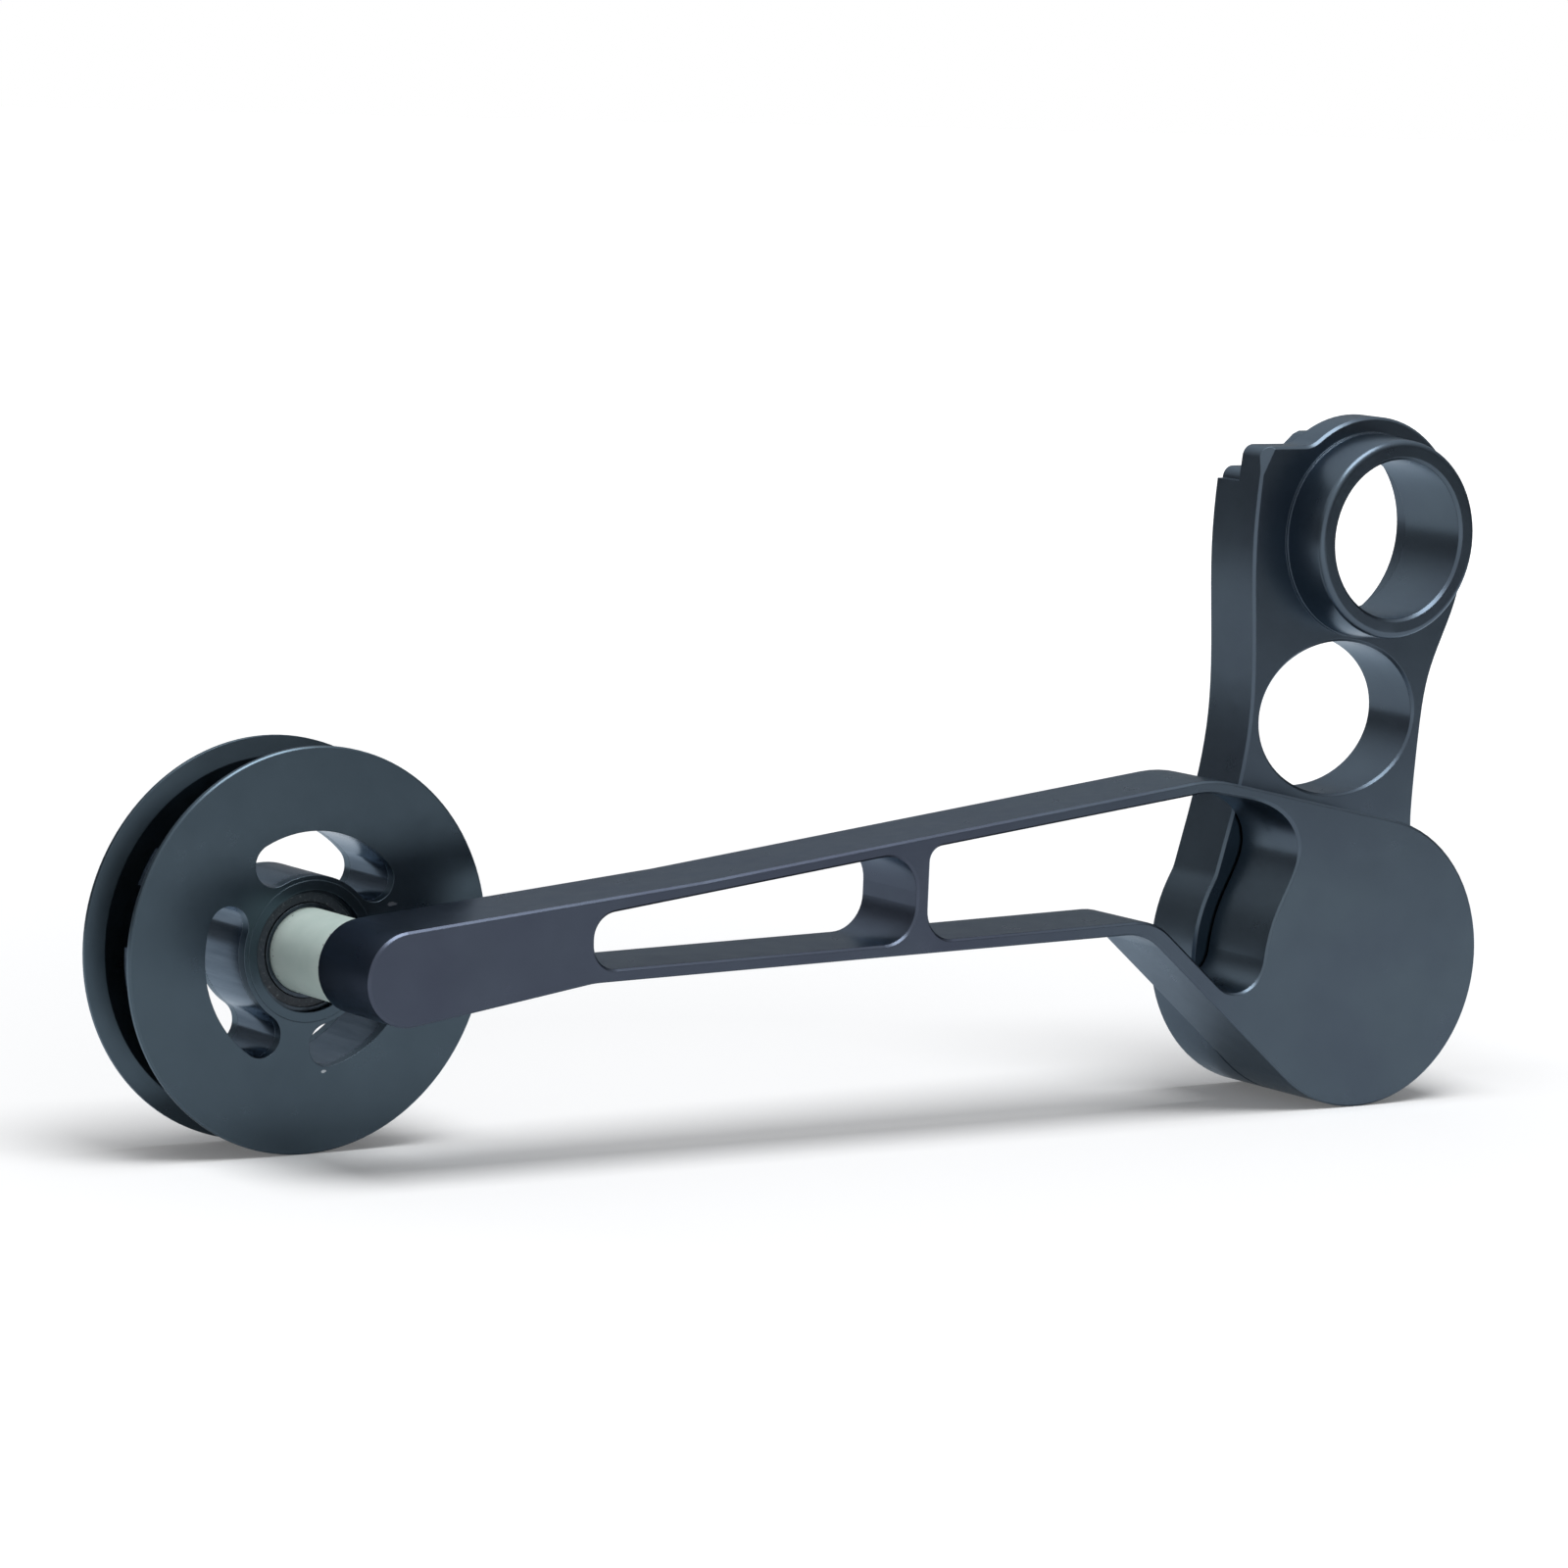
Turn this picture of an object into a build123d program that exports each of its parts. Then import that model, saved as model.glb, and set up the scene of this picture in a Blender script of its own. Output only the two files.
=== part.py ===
from build123d import *
import math
import os

os.makedirs("parts", exist_ok=True)

# Sprung chain tensioner with one toothed guide wheel that floats along its sleeve.
# All sizes in mm. X runs along the arm, Y along every turning axis, Z is up.
# The origin is on the axle bore's axis, in the pocket floor that bears on the bicycle frame.
# Minus Y is the outer side of the bicycle. Each depth below is a place along Y.

# Mounting bracket
bore_r = 10.5            # bore that goes over the wheel axle's nut
bore_chamfer = 0.4
collar_r = 13.1          # collar round the bore
collar_out = 6.8         # how far the collar stands out of the front face
collar_edge = 0.9        # rounding of the collar's front edge
collar_foot_r = 13.6     # foot of the collar, which tapers a little towards its front
collar_foot_out = 0.35
collar_foot_step = 0.15
head_r = 15.6            # bracket head round the bore, in front of the pocket floor
head_x = 0.5             # its outline stands this far to the right of the bore
rear_head_r = 14.0       # the same behind the pocket floor
crown_low_angle = 10.0   # where the head's round outline ends at the right
front_layer_t = 4.5      # plate in front of the pocket floor
rear_layer_t = 4.5       # walls that lap round the frame end
pocket_r = 12.8
pocket_mouth_w = 6.4     # way into the pocket, between the two lugs
pocket_mouth_angle = 138.0
mouth_face = 13.5        # from the bore's axis to the flat beside the mouth
mouth_face_angle = 130.5
lug_left = -17.75        # front lug, at the upper left of the head
lug_top = 11.8
lug_corner_r = 1.7
lug_root_r = 4.0         # where the lug runs into the head
rear_lug_top = 8.6
rear_head_top = 13.1     # flat top of the head behind the pocket floor
rear_lug_r = 1.6
lug_cut_wide = 1.4       # slanting cut across the lug's front corner
lug_cut_deep = 0.95
lug_cut_high = 2.7
lug_cut_top = 10.2
lug_cut_reach = 9.0
bracket_edge = 0.35      # chamfer of the bracket's front edge
oval_wide = 25.9
oval_high = 20.3
oval_x = -3.35
oval_z = -24.2
oval_wall = 1.65         # narrowest wall on each side of the oval
side_x = -18.7           # left side between the oval and the lug
side_z = -3.0
shoulder_out = 1.3       # the right side stands this far out past the head
shoulder_low = 6.5
armpit_in = 3.0          # and comes in by this much at the top of the oval
flare_angle = 147.0      # where the left side meets the round end
flare_lean = 0.28
flare_r = 6.0
hip_in = 2.0
hip_up = 18.0

# Pivot
pivot_x = -6.5
pivot_z = -55.0
disc_r = 19.1            # round end of the bracket and round housing of the arm
cup_r = 13.5             # spring cup, half in the arm and half in the bracket
bracket_cup_depth = 5.0
hub_r = 7.6              # boss in the middle of each half of the cup
pin_r = 5.0
bush_wall = 0.95
bush_clearance = 0.05
flange_t = 1.0
bush_flange_r = 7.4
front_bush_l = 5.1
rear_bush_l = 3.8
thrust_washer_t = 0.8
pin_end_wall = 2.5       # metal left in front of the pin
pivot_sink_depth = 2.4   # counterbore behind the pivot
pivot_sink_r = 8.0
pivot_washer_t = 0.8
screw_r = 2.5
screw_l = 9.0
screw_head_r = 3.8
screw_head_t = 1.4
screw_hex = 3.0
seat_gap = 0.05          # axial play between turning faces
fit_gap = 0.01           # pressed and screwed fits, on the radius

# Torsion spring
wire_w = 2.0             # square wire
coil_r = 10.6
coil_pitch = 3.0
coil_turns = 4
coil_end_gap = 0.25      # between the last coil and the floor of the cup
tang_depth = 1.5
tang_clearance = 0.1

# Stop
stop_pin_r = 1.5
stop_orbit_r = 16.5
stop_angle = 60.0
swing_angle = 120.0
stop_clearance = 0.1
stop_pin_out = 3.2
stop_pin_in = 3.6

# Swing arm
body_gap = 0.3           # between the bracket and the arm
arm_t = 11.7
arm_front_wall = 2.5     # front wall of the spring cup
arm_edge = 0.3           # chamfer round the arm's front face
tip_r = 5.8
wheel_reach = 146.3      # from the pivot to the wheel's axle, along X
rail_t = 1.55            # wall between a window and the arm's outer edge
band_t = 2.2             # wall below the long window, where it runs down to the housing
strut_t = 1.9
crest_x = -26.6          # these places are measured from the pivot
crest_z = 25.3
shoulder_x = -105.0
shoulder_z = 15.7
heel_x = -120.2
heel_z = 4.0
knee_x = -36.4
knee_z = 5.7
short_window_left = -120.5
short_window_right = -72.9
short_window_left_r = 3.2
short_window_right_r = 4.6
long_window_top_r = 2.0
long_window_low_r = 3.8
crest_r = 18.0
crest_inner_r = 12.0
knee_r = 8.0
heel_r = 14.0
wave_wall = 3.3          # wall between the long window and the spring cup
wave_hollow = 3.3
wave_foot_wall = 4.5
wave_foot_r = 4.5
wave_rise = 6.7          # from the crest to where the wavy wall begins

# Guide wheel
flange_r = 25.0
wheel_w = 11.8
plate_t = 1.4
plate_rim_t = 0.7
plate_bevel = 2.4
plate_edge = 0.2
wheel_gap = 2.2          # between the bracket's rear face and the wheel
teeth = 11
chain_pitch = 12.7
roller_seat_r = 3.9
tooth_angle = 102.7        # of one roller seat, from +X round to +Z
tooth_tip_r = 22.1
tooth_t = 2.2
tooth_bevel = 0.5
core_r = 17.5
boss_r = 8.7
slot_count = 3
slot_inner_r = 9.3
slot_outer_r = 14.7
slot_span = 73.0         # along the slot's centre line, between its round ends
slot_angle = 80.2

# Bearings of the guide wheel
sleeve_r = 5.25
slide_clearance = 0.05
bearing_w = 4.0
bearing_r = 7.5
race_t = 0.5
needle_l = 2.5
needle_count = 9
needle_clearance = 0.05
cage_w = 2.8
cage_t = 0.4
seal_t = 0.3
seal_sink = 0.2
seal_lip_gap = 0.1
shoulder_r = 6.9         # rib in the hub between the two bearings
bearing_sink = 0.8       # from the hub's face to the bearing

# Axle of the guide wheel
bolt_r = 3.0
bolt_in_arm = 9.0
sleeve_bore_gap = 0.1
sleeve_past_wheel = 0.4
axle_washer_r = 7.0
axle_washer_t = 1.0
axle_head_r = 5.2
axle_head_t = 3.0
axle_hex = 5.0

# Places along Y
bracket_front = -front_layer_t
bracket_rear = rear_layer_t
collar_front = bracket_front - collar_out
arm_back = bracket_front - body_gap
arm_front = arm_back - arm_t
arm_cup_floor = arm_front + arm_front_wall
bracket_cup_floor = bracket_front + bracket_cup_depth
pivot_sink_floor = bracket_rear - pivot_sink_depth
pin_front = arm_front + pin_end_wall
rear_bush_face = pivot_sink_floor + flange_t
pin_rear = rear_bush_face + seat_gap
bracket_hub_front = bracket_front - body_gap - 1.35
front_bush_face = bracket_hub_front - flange_t
thrust_face = front_bush_face - seat_gap
arm_hub_back = thrust_face - thrust_washer_t
wheel_front = bracket_rear + wheel_gap
wheel_rear = wheel_front + wheel_w
wheel_mid = (wheel_front + wheel_rear) / 2
sleeve_rear = wheel_rear + sleeve_past_wheel
axle_washer_rear = sleeve_rear + axle_washer_t

# Places in the XZ plane
wheel_x = pivot_x - wheel_reach
wheel_z = pivot_z + flange_r - disc_r    # housing and wheel stand on one surface
tip = (-wheel_reach, flange_r - disc_r)  # measured from the pivot
bush_r = pin_r + bush_clearance + bush_wall
race_bore_r = sleeve_r + slide_clearance
inner_race_r = race_bore_r + race_t
outer_race_bore_r = bearing_r - race_t
needle_orbit_r = (inner_race_r + outer_race_bore_r) / 2
needle_r = (outer_race_bore_r - inner_race_r) / 2 - needle_clearance
tooth_pitch_r = chain_pitch / (2 * math.sin(math.pi / teeth))
front_bearing_y = wheel_front + bearing_sink + bearing_w / 2
rear_bearing_y = wheel_rear - bearing_sink - bearing_w / 2
bearing_places = (front_bearing_y, rear_bearing_y)
outward = (0, -1, 0)


def facing(y, x=0.0, z=0.0):
    """Plane across the turning axes that looks outward, to minus Y."""
    return Plane(origin=(x, y, z), x_dir=(1, 0, 0), z_dir=(0, -1, 0))


def pivot_face(y):
    return facing(y, pivot_x, pivot_z)


def wheel_face(y):
    return facing(y, wheel_x, wheel_z)


def lengthwise(x, z):
    """Plane through a turning axis: first the radius, then the place along Y."""
    return Plane(origin=(x, 0, z), x_dir=(1, 0, 0), z_dir=(0, 0, 1))


def polar(radius, angle):
    return (radius * math.cos(math.radians(angle)), radius * math.sin(math.radians(angle)))


def tangent_point(point, centre, radius, side):
    """Where a line from a point touches a circle; side 1 is anticlockwise of the point."""
    across, up = point[0] - centre[0], point[1] - centre[1]
    angle = math.atan2(up, across) + side * math.acos(radius / math.hypot(across, up))
    return (centre[0] + radius * math.cos(angle), centre[1] + radius * math.sin(angle))


def along(start, end, x):
    """Height at x of the line through two points."""
    return start[1] + (end[1] - start[1]) * (x - start[0]) / (end[0] - start[0])


def heading(start, end):
    """Direction from one point to another, one unit long."""
    across, up = end[0] - start[0], end[1] - start[1]
    return (across / math.hypot(across, up), up / math.hypot(across, up))


def vertex_near(builder, point):
    return builder.vertices().sort_by_distance((point[0], point[1], 0))[0]


pivot_axis = Axis((pivot_x, 0, pivot_z), (0, 1, 0))
wheel_axis = Axis((wheel_x, 0, wheel_z), (0, 1, 0))
bore_axis = Axis((0, 0, 0), (0, 1, 0))

# Centre line of the torsion spring; its ends are straight above one another.
coil_rear = bracket_cup_floor - coil_end_gap - wire_w / 2
coil_front = coil_rear - coil_pitch * coil_turns
coil = Helix(
    pitch=coil_pitch, height=coil_pitch * coil_turns, radius=coil_r,
    center=(pivot_x, coil_front, pivot_z), direction=(0, 1, 0),
)
tang_place = ((coil @ 0).X - pivot_x, (coil @ 0).Z - pivot_z)

# Mounting bracket: one plate with a bored collar, an oval hole and half of the spring cup.
flare_foot = (pivot_x + polar(disc_r, flare_angle)[0], pivot_z + polar(disc_r, flare_angle)[1])
hip = (pivot_x + disc_r - hip_in, pivot_z + hip_up)
disc_right = tangent_point(hip, (pivot_x, pivot_z), disc_r, -1)
oval_left = oval_x - oval_wide / 2
oval_right = oval_x + oval_wide / 2
crown_start, crown_top, crown_right, crown_end = [
    (head_x + polar(head_r, angle)[0], polar(head_r, angle)[1])
    for angle in (125.0, 75.0, 40.0, crown_low_angle)
]
lug_corner = (lug_left, lug_top)
lug_root = (head_x - math.sqrt(head_r**2 - lug_top**2), lug_top)
rear_lug_round = lug_left + 0.3 + rear_lug_r
with BuildPart() as mounting_bracket:
    with BuildSketch(facing(bracket_rear)) as plate_outline:
        with BuildLine():
            left_side = Spline(
                flare_foot, (oval_left - oval_wall, oval_z), (side_x, side_z), lug_corner,
                tangents=((flare_lean, 1), (0.12, 1)),
            )
            Line(lug_corner, lug_root)
            ThreePointArc(lug_root, crown_start, crown_top)
            ThreePointArc(crown_top, crown_right, crown_end)
            Spline(
                crown_end, (head_r + shoulder_out, -shoulder_low),
                (head_r - armpit_in, oval_z + oval_high / 2 - armpit_in * 1.4),
                (oval_right + oval_wall, oval_z - 2), hip, disc_right,
                tangents=(polar(1, crown_low_angle - 90.0), heading(hip, disc_right)),
            )
            ThreePointArc(disc_right, (pivot_x, pivot_z - disc_r), flare_foot)
        make_face()
        fillet(vertex_near(plate_outline, lug_corner), lug_corner_r)
        fillet(vertex_near(plate_outline, lug_root), lug_root_r)
        fillet(vertex_near(plate_outline, flare_foot), flare_r)
        with Locations((oval_x, oval_z)):
            Ellipse(oval_wide / 2, oval_high / 2, mode=Mode.SUBTRACT)
    extrude(amount=rear_layer_t + front_layer_t)
    chamfer(mounting_bracket.faces().sort_by(Axis.Y)[0].edges(), bracket_edge)
    with BuildSketch(lengthwise(0, 0)):
        with BuildLine():
            foot_y = bracket_front - collar_foot_out
            Polyline(
                (bore_r, 0), (collar_foot_r, 0), (collar_foot_r, foot_y),
                (collar_foot_r - collar_foot_step, foot_y), (collar_r, collar_front + collar_edge),
            )
            RadiusArc(
                (collar_r, collar_front + collar_edge),
                (collar_r - collar_edge, collar_front), collar_edge,
            )
            Polyline(
                (collar_r - collar_edge, collar_front), (bore_r, collar_front), (bore_r, 0)
            )
        make_face()
    revolve(axis=bore_axis)
    with BuildSketch(facing(bracket_rear)):
        Circle(pocket_r)
        with Locations(Location((0, 0, 0), (0, 0, pocket_mouth_angle))):
            Rectangle(2 * head_r, pocket_mouth_w, align=(Align.MIN, Align.CENTER))
    extrude(amount=rear_layer_t, mode=Mode.SUBTRACT)

    # Behind the pocket floor the head is narrower, flat on top, with a low lug left of the mouth.
    with BuildSketch(facing(bracket_rear)):
        Rectangle(3 * head_r, 2 * head_r, align=(Align.CENTER, Align.MIN))
        Circle(rear_head_r, mode=Mode.SUBTRACT)
        with Locations((-1.5 * head_r, 0)):
            Rectangle(
                head_r, rear_lug_top - rear_lug_r, align=(Align.MIN, Align.MIN), mode=Mode.SUBTRACT
            )
        with Locations((rear_lug_round, 0)):
            Rectangle(
                head_r / 2, rear_lug_top, align=(Align.MIN, Align.MIN), mode=Mode.SUBTRACT
            )
        with Locations((rear_lug_round, rear_lug_top - rear_lug_r)):
            Circle(rear_lug_r, mode=Mode.SUBTRACT)
        with Locations(Location((0, 0, 0), (0, 0, mouth_face_angle))):
            with Locations((mouth_face, 0)):
                Rectangle(head_r, head_r, align=(Align.MIN, Align.MAX))
        with Locations((0, rear_head_top)):
            Rectangle(2 * head_r, head_r, align=(Align.CENTER, Align.MIN))
    extrude(amount=rear_layer_t, mode=Mode.SUBTRACT)
    lug_cut_foot = (lug_left - 0.4, bracket_front, lug_cut_top - lug_cut_high)
    lug_cut_normal = (-1 / lug_cut_wide, -1 / lug_cut_deep, 1 / lug_cut_high)
    with Locations(Plane(origin=lug_cut_foot, z_dir=lug_cut_normal)):
        Box(
            lug_cut_reach, lug_cut_reach, lug_cut_reach,
            align=(Align.CENTER, Align.CENTER, Align.MIN), mode=Mode.SUBTRACT,
        )

    with BuildSketch(facing(bracket_rear)):
        Circle(bore_r)
    extrude(amount=rear_layer_t + front_layer_t + collar_out, mode=Mode.SUBTRACT)
    mouth = mounting_bracket.edges().filter_by(GeomType.CIRCLE)
    mouth = mouth.filter_by(lambda e: abs(e.radius - bore_r) < 0.01).sort_by(Axis.Y)
    chamfer(mouth[0], bore_chamfer)
    with BuildSketch(pivot_face(bracket_cup_floor)):
        Circle(cup_r)
    extrude(amount=bracket_cup_depth, mode=Mode.SUBTRACT)
    with BuildSketch(pivot_face(bracket_cup_floor)):
        Circle(hub_r)
    extrude(amount=bracket_cup_floor - bracket_hub_front)
    with BuildSketch(pivot_face(bracket_rear)):
        Circle(bush_r + fit_gap)
    extrude(amount=bracket_rear - bracket_hub_front, mode=Mode.SUBTRACT)
    with BuildSketch(pivot_face(bracket_rear)):
        Circle(pivot_sink_r)
    extrude(amount=pivot_sink_depth, mode=Mode.SUBTRACT)
    with BuildSketch(pivot_face(bracket_cup_floor + tang_depth)):
        with Locations(tang_place):
            Circle(wire_w / 2 + tang_clearance)
    extrude(amount=tang_depth, mode=Mode.SUBTRACT)
    with BuildSketch(pivot_face(bracket_front + stop_pin_in)):
        with Locations(polar(stop_orbit_r, stop_angle)):
            Circle(stop_pin_r + fit_gap)
    extrude(amount=stop_pin_in, mode=Mode.SUBTRACT)
mounting_bracket.part.label = "mounting_bracket"
export_step(mounting_bracket.part, "parts/mounting_bracket.step")

# Stop pin: pressed into the bracket, it runs in a curved groove in the arm.
with BuildPart() as stop_pin:
    with BuildSketch(pivot_face(bracket_front + stop_pin_in)):
        with Locations(polar(stop_orbit_r, stop_angle)):
            Circle(stop_pin_r)
    extrude(amount=stop_pin_in + body_gap + stop_pin_out)
stop_pin.part.label = "stop_pin"
export_step(stop_pin.part, "parts/stop_pin.step")


def flanged_bush(face, length, outward):
    """Section of a bush with its flange at one end; outward is 1 for a flange towards plus Y."""
    inner = face - outward * length
    root = face - outward * flange_t
    bore = pin_r + bush_clearance
    return [(bore, face), (bush_flange_r, face), (bush_flange_r, root), (bush_r, root),
            (bush_r, inner), (bore, inner)]


# Pivot bushes: flanged at the ends of the bracket's boss.
with BuildPart() as pivot_bush_front:
    with BuildSketch(lengthwise(pivot_x, pivot_z)):
        Polygon(*flanged_bush(front_bush_face, front_bush_l, -1), align=None)
    revolve(axis=pivot_axis)
pivot_bush_front.part.label = "pivot_bush_front"
export_step(pivot_bush_front.part, "parts/pivot_bush_front.step")

with BuildPart() as pivot_bush_rear:
    with BuildSketch(lengthwise(pivot_x, pivot_z)):
        Polygon(*flanged_bush(rear_bush_face, rear_bush_l, 1), align=None)
    revolve(axis=pivot_axis)
pivot_bush_rear.part.label = "pivot_bush_rear"
export_step(pivot_bush_rear.part, "parts/pivot_bush_rear.step")

# Torsion spring: a close coil with one tang in the bracket and one in the arm.
with BuildPart() as torsion_spring:
    with BuildLine():
        add(coil)
    with BuildSketch(Plane(origin=coil @ 0, z_dir=coil % 0)):
        Rectangle(wire_w, wire_w)
    sweep(path=coil, is_frenet=True)
    for coil_end, reach in ((coil @ 1, coil_end_gap + wire_w / 2 + tang_depth - 0.1),
                            (coil @ 0, arm_cup_floor - tang_depth + 0.1 - coil_front)):
        with BuildSketch(facing(coil_end.Y, coil_end.X, coil_end.Z)):
            Circle(wire_w / 2)
        extrude(amount=-reach)
torsion_spring.part.label = "torsion_spring"
export_step(torsion_spring.part, "parts/torsion_spring.step")

# Swing arm: one milled piece with a round spring housing, two windows and a solid tip.
crest = (crest_x, crest_z)
shoulder = (shoulder_x, shoulder_z)
heel = (heel_x, heel_z)
knee = (knee_x, knee_z)
tip_top = tangent_point(shoulder, tip, tip_r, 1)
tip_bottom = tangent_point(heel, tip, tip_r, -1)
disc_top = tangent_point(crest, (0, 0), disc_r, -1)
disc_bottom = tangent_point(knee, (0, 0), disc_r, 1)
groove_line = CenterArc((0, 0), stop_orbit_r, stop_angle - swing_angle, swing_angle)
with BuildPart() as swing_arm:
    with BuildSketch(pivot_face(arm_back)) as arm_outline:
        with BuildLine():
            Polyline(tip_top, shoulder, crest, disc_top)
            ThreePointArc(disc_top, (disc_r, 0), disc_bottom)
            Polyline(disc_bottom, knee, heel, tip_bottom)
            ThreePointArc(tip_bottom, (tip[0] - tip_r, tip[1]), tip_top)
        make_face()
        fillet(vertex_near(arm_outline, crest), crest_r)
        fillet(vertex_near(arm_outline, knee), knee_r)
        fillet(vertex_near(arm_outline, heel), heel_r)
    extrude(amount=arm_t)

    def window_corner(x, top):
        """Corner of a window: the rail's wall below the top edge or above the bottom edge."""
        if top:
            return (x, along(shoulder, crest, x) - rail_t)
        return (x, along(heel, knee, x) + rail_t)

    with BuildSketch(pivot_face(arm_back)) as short_window:
        corners = [window_corner(short_window_left, True), window_corner(short_window_right, True),
                   window_corner(short_window_right, False), window_corner(short_window_left, False)]
        Polygon(*corners, align=None)
        left_corners = short_window.vertices().sort_by(Axis.X)[:2]
        fillet(left_corners, short_window_left_r)
        right_corners = short_window.vertices().sort_by(Axis.X)[-2:]
        fillet(right_corners, short_window_right_r)
    extrude(amount=arm_t, mode=Mode.SUBTRACT)

    # The long window ends in a wavy wall in front of the bracket's edge.
    long_window_left = short_window_right + strut_t
    crest_inside = (crest_x - 0.6, along(shoulder, crest, crest_x - 0.6) - rail_t - 0.1)
    slope_x = crest_x + wave_rise
    slope_end = (slope_x, along(crest, disc_top, slope_x) - rail_t)
    band_drop = band_t * math.hypot(disc_bottom[0] - knee[0], disc_bottom[1] - knee[1])
    band_drop = band_drop / (disc_bottom[0] - knee[0])
    knee_inside = (knee_x + 1.4, along(knee, disc_bottom, knee_x + 1.4) + band_drop)
    foot_x = -cup_r - wave_foot_wall
    wave_foot = (foot_x, along(knee, disc_bottom, foot_x) + band_drop)
    with BuildSketch(pivot_face(arm_back)) as long_window:
        with BuildLine():
            top_left = window_corner(long_window_left, True)
            bottom_left = window_corner(long_window_left, False)
            Polyline(top_left, crest_inside, slope_end)
            Spline(
                slope_end, polar(disc_r, 129.0), polar(cup_r + wave_hollow, 160.5),
                polar(cup_r + wave_wall, 178.0), wave_foot,
                tangents=(heading(crest, disc_top), (-0.25, -1)),
            )
            Polyline(wave_foot, knee_inside, bottom_left, top_left)
        make_face()
        fillet(vertex_near(long_window, top_left), long_window_top_r)
        fillet(vertex_near(long_window, bottom_left), long_window_low_r)
        fillet(vertex_near(long_window, crest_inside), crest_inner_r)
        fillet(vertex_near(long_window, knee_inside), knee_r)
        fillet(vertex_near(long_window, wave_foot), wave_foot_r)
    extrude(amount=arm_t, mode=Mode.SUBTRACT)
    chamfer(swing_arm.faces().sort_by(Axis.Y)[0].edges(), arm_edge)

    with BuildSketch(pivot_face(arm_back)):
        Circle(cup_r)
    extrude(amount=arm_back - arm_cup_floor, mode=Mode.SUBTRACT)
    with BuildSketch(pivot_face(arm_hub_back)):
        Circle(hub_r)
    extrude(amount=arm_hub_back - arm_cup_floor)
    with BuildSketch(pivot_face(arm_hub_back)):
        Circle(pin_r + fit_gap)
    extrude(amount=arm_hub_back - pin_front, mode=Mode.SUBTRACT)
    with BuildSketch(pivot_face(arm_cup_floor)):
        with Locations(tang_place):
            Circle(wire_w / 2 + tang_clearance)
    extrude(amount=tang_depth, mode=Mode.SUBTRACT)
    with BuildSketch(pivot_face(arm_back)):
        SlotArc(arc=groove_line, height=2 * (stop_pin_r + stop_clearance))
    extrude(amount=stop_pin_out + stop_clearance, dir=outward, mode=Mode.SUBTRACT)
    with BuildSketch(wheel_face(arm_back)):
        Circle(bolt_r + fit_gap)
    extrude(amount=bolt_in_arm, mode=Mode.SUBTRACT)
swing_arm.part.label = "swing_arm"
export_step(swing_arm.part, "parts/swing_arm.step")

# Pivot pin: pressed into the arm's boss, it turns in the bracket's bushes.
with BuildPart() as pivot_pin:
    with BuildSketch(pivot_face(pin_rear)):
        Circle(pin_r)
    extrude(amount=pin_rear - pin_front)
    with BuildSketch(pivot_face(pin_rear)):
        Circle(screw_r + fit_gap)
    extrude(amount=screw_l, mode=Mode.SUBTRACT)
pivot_pin.part.label = "pivot_pin"
export_step(pivot_pin.part, "parts/pivot_pin.step")

with BuildPart() as thrust_washer:
    with BuildSketch(pivot_face(arm_hub_back + thrust_washer_t)):
        Circle(bush_flange_r)
        Circle(pin_r + bush_clearance, mode=Mode.SUBTRACT)
    extrude(amount=thrust_washer_t)
thrust_washer.part.label = "thrust_washer"
export_step(thrust_washer.part, "parts/thrust_washer.step")

with BuildPart() as pivot_washer:
    with BuildSketch(pivot_face(pin_rear + pivot_washer_t)):
        Circle(bush_flange_r - 0.2)
        Circle(screw_r + bush_clearance, mode=Mode.SUBTRACT)
    extrude(amount=pivot_washer_t)
pivot_washer.part.label = "pivot_washer"
export_step(pivot_washer.part, "parts/pivot_washer.step")

# Pivot screw: holds the washer on the end of the pin.
screw_seat = pin_rear + pivot_washer_t
with BuildPart() as pivot_screw:
    with BuildSketch(pivot_face(screw_seat + screw_head_t)):
        Circle(screw_head_r)
    extrude(amount=screw_head_t)
    with BuildSketch(pivot_face(screw_seat)):
        Circle(screw_r)
    extrude(amount=screw_l)
    with BuildSketch(pivot_face(screw_seat + screw_head_t)):
        RegularPolygon(screw_hex / 2, 6, major_radius=False)
    extrude(amount=screw_head_t, mode=Mode.SUBTRACT)
pivot_screw.part.label = "pivot_screw"
export_step(pivot_screw.part, "parts/pivot_screw.step")

# Axle sleeve: the guide wheel slides along it to follow the chain line.
with BuildPart() as axle_sleeve:
    with BuildSketch(wheel_face(sleeve_rear)):
        Circle(sleeve_r)
        Circle(bolt_r + sleeve_bore_gap, mode=Mode.SUBTRACT)
    extrude(amount=sleeve_rear - arm_back)
    chamfer(axle_sleeve.edges().filter_by(GeomType.CIRCLE).sort_by(Axis.Y)[-1], 0.3)
axle_sleeve.part.label = "axle_sleeve"
export_step(axle_sleeve.part, "parts/axle_sleeve.step")

with BuildPart() as axle_washer:
    with BuildSketch(wheel_face(axle_washer_rear)):
        Circle(axle_washer_r)
        Circle(bolt_r + sleeve_bore_gap, mode=Mode.SUBTRACT)
    extrude(amount=axle_washer_t)
axle_washer.part.label = "axle_washer"
export_step(axle_washer.part, "parts/axle_washer.step")

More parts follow.
